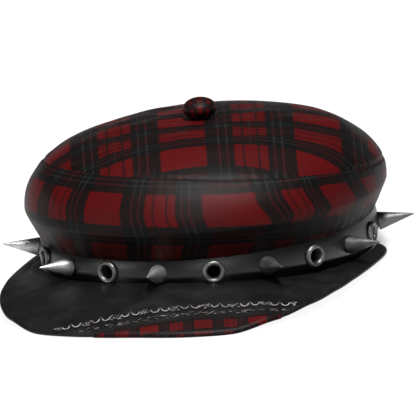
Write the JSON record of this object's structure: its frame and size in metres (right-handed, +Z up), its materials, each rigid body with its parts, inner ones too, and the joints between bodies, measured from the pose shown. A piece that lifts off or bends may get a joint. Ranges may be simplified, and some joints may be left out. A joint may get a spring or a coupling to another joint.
{
  "type": "peaked tartan cap with a studded leather band",
  "caption": "Soft red and black tartan cap with a covered button, a black leather band of spikes and eyelets, and a leather peak with a tartan front panel.",
  "frame": {"origin": "middle of the bounding box's lowest face", "axes": "+Z up from the surface it rests on, -Y towards the front of the peak, +X to the wearer's left"},
  "size_m": [0.2198, 0.2798, 0.0918],
  "materials": {
    "tartan_cloth": "soft woven twill",
    "black_leather": "smooth with a low sheen",
    "worn_steel": "worn satin"
  },
  "bodies": {
    "root": {"crown": "tartan_cloth", "top_button": "tartan_cloth", "headband": "black_leather", "peak": "black_leather", "peak_panel": "tartan_cloth", "spike_01": "worn_steel", "spike_02": "worn_steel", "spike_03": "worn_steel", "spike_04": "worn_steel", "spike_05": "worn_steel", "spike_06": "worn_steel", "spike_07": "worn_steel", "spike_08": "worn_steel", "spike_09": "worn_steel", "spike_10": "worn_steel", "eyelet_01": "worn_steel", "eyelet_02": "worn_steel", "eyelet_03": "worn_steel", "eyelet_04": "worn_steel", "eyelet_05": "worn_steel", "eyelet_06": "worn_steel", "eyelet_07": "worn_steel", "eyelet_08": "worn_steel", "eyelet_09": "worn_steel", "eyelet_10": "worn_steel"}
  },
  "joints": []
}
